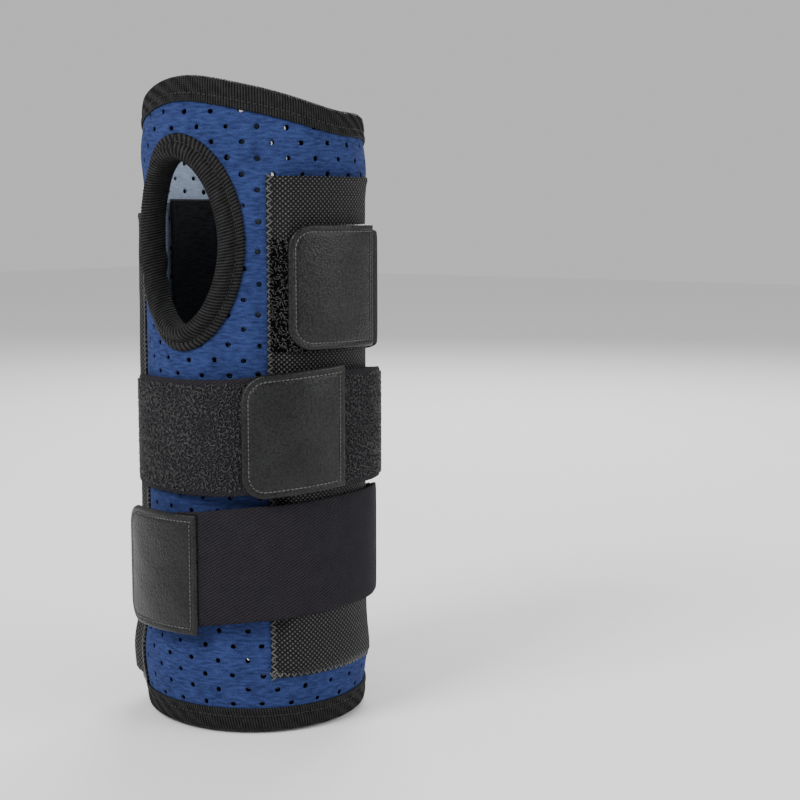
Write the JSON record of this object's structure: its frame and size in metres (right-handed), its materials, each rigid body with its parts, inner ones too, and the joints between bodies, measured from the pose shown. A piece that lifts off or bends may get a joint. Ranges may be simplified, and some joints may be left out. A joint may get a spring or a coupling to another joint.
{
  "type": "wrist splint",
  "caption": "Wrist splint: perforated foam sleeve with a thumb hole and bound V-slit, two slide-in stays in webbing pockets, and slanting hook-and-loop straps turned back through D-rings.",
  "frame": {"origin": "centre of the bottom of the bounding box, in the plane of the elbow-end binding", "axes": "+Z along the forearm towards the hand, thumb hole facing -Y, slit towards -X and +Y"},
  "size_m": [0.0858, 0.086, 0.2037],
  "materials": {
    "knit_blue": "perforated brushed knit",
    "foam_black": "open-cell foam",
    "knit_pale": "brushed loop knit",
    "knit_black": "black knit",
    "binding_tape": "ribbed grosgrain tape",
    "webbing": "woven polyester webbing",
    "stay_metal": "satin",
    "loop_pile": "napped loop pile",
    "elastic": "woven elastic",
    "leather": "grained, satin",
    "hook_tape": "moulded hook tape",
    "ring_black": "gloss black coated wire",
    "webbing_rib": "ribbed webbing"
  },
  "bodies": {
    "sleeve": {"outer_fabric": "knit_blue", "foam_core": "foam_black", "liner": "knit_pale", "thumb_pad": "knit_pale", "tongue": "knit_black", "edge_binding": "binding_tape", "thumb_binding": "binding_tape", "palmar_pocket": "webbing", "dorsal_pocket": "webbing", "pocket_loop_patch": "loop_pile", "loop_strip": "loop_pile", "strap_upper": "elastic", "ring_tab_upper": "webbing_rib", "strap_middle": "elastic", "ring_tab_middle": "webbing_rib", "strap_lower": "elastic", "ring_tab_lower": "webbing_rib"},
    "palmar_stay": {"palmar_stay": "stay_metal"},
    "dorsal_stay": {"dorsal_stay": "stay_metal"},
    "pull_tab_upper": {"tab_upper": "leather", "hook_upper": "hook_tape"},
    "d_ring_upper": {"d_ring_upper": "ring_black"},
    "pull_tab_middle": {"tab_middle": "leather", "hook_middle": "hook_tape"},
    "d_ring_middle": {"d_ring_middle": "ring_black"},
    "pull_tab_lower": {"tab_lower": "leather", "hook_lower": "hook_tape"},
    "d_ring_lower": {"d_ring_lower": "ring_black"}
  },
  "joints": [
    {"name": "palmar_stay_slide", "type": "slide", "parent": "sleeve", "child": "palmar_stay", "axis": [0, 0, 1], "range_m": [0, 0.151]},
    {"name": "dorsal_stay_slide", "type": "slide", "parent": "sleeve", "child": "dorsal_stay", "axis": [0, 0, 1], "range_m": [0, 0.149]},
    {"name": "tab_upper_peel", "type": "hinge", "parent": "sleeve", "child": "pull_tab_upper", "pos_m": [0.04118, 0.00724, 0.13933], "axis": [0, 0, 1], "range_deg": [0, 70]},
    {"name": "d_ring_upper_swing", "type": "hinge", "parent": "sleeve", "child": "d_ring_upper", "pos_m": [-0.02807, 0.02697, 0.12723], "axis": [0, 0, 1], "range_deg": [-2.5, 2.5]},
    {"name": "tab_middle_peel", "type": "hinge", "parent": "sleeve", "child": "pull_tab_middle", "pos_m": [0.04195, -0.00806, 0.09558], "axis": [0, 0, 1], "range_deg": [0, 70]},
    {"name": "d_ring_middle_swing", "type": "hinge", "parent": "sleeve", "child": "d_ring_middle", "pos_m": [-0.0318, 0.0225, 0.08149], "axis": [0, 0, 1], "range_deg": [-2.5, 2.5]},
    {"name": "tab_lower_peel", "type": "hinge", "parent": "sleeve", "child": "pull_tab_lower", "pos_m": [0.00961, -0.04075, 0.05193], "axis": [0, 0, 1], "range_deg": [0, 70]},
    {"name": "d_ring_lower_swing", "type": "hinge", "parent": "sleeve", "child": "d_ring_lower", "pos_m": [-0.03277, 0.02108, 0.03551], "axis": [0, 0, 1], "range_deg": [-2.5, 2.5]}
  ]
}
